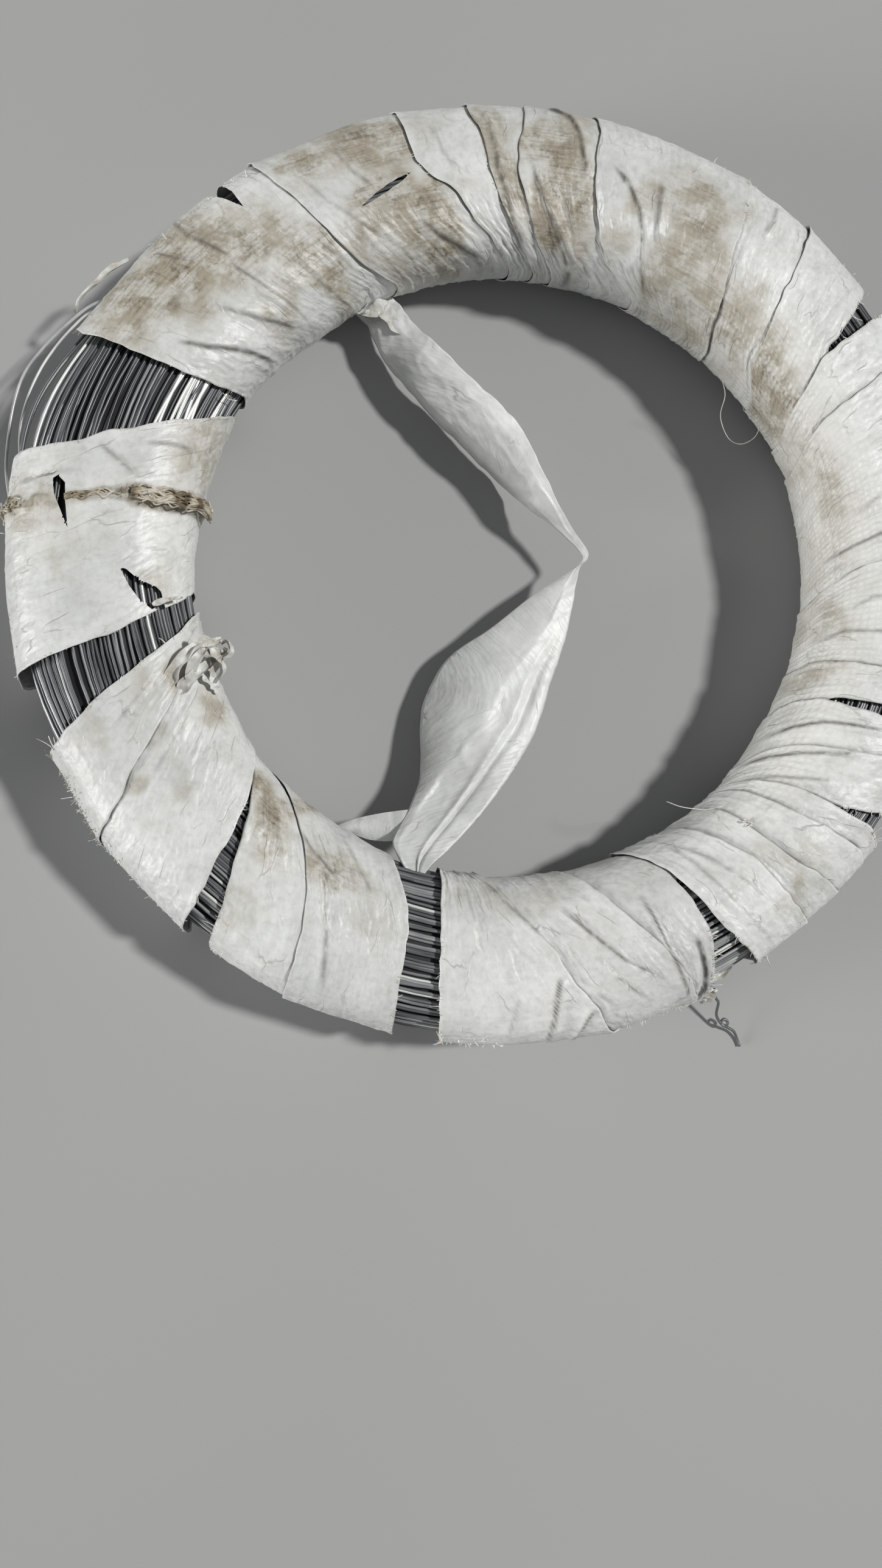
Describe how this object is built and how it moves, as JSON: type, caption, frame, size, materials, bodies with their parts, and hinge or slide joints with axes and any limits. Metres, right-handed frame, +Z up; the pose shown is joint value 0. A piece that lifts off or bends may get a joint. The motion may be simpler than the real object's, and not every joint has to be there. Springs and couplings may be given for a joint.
{
  "type": "coil of binding wire",
  "caption": "Flat ring of many binding wire turns, wound round with overlapping woven strip, bare in places, with a loose folded strip end across the bore and a free wire end.",
  "frame": {"origin": "centre of the coil on the floor it lies on", "axes": "+Z up along the coil's axis, +X to the right and +Y away from the viewer, who looks down on the coil"},
  "size_m": [0.4798, 0.4792, 0.0716],
  "materials": {
    "wire": "dull dark annealed wire with bright rubbed crests",
    "woven_strip": "woven polypropylene strip, off-white, stained in places"
  },
  "bodies": {
    "root": {"wire_coil": "wire", "wrap_upper_left": "woven_strip", "wrap_top": "woven_strip", "wrap_upper_right": "woven_strip", "wrap_right": "woven_strip", "wrap_lower_right": "woven_strip", "wrap_bottom": "woven_strip", "wrap_low": "woven_strip", "wrap_lower_left": "woven_strip", "wrap_left": "woven_strip", "tail_strip": "woven_strip"}
  },
  "joints": []
}
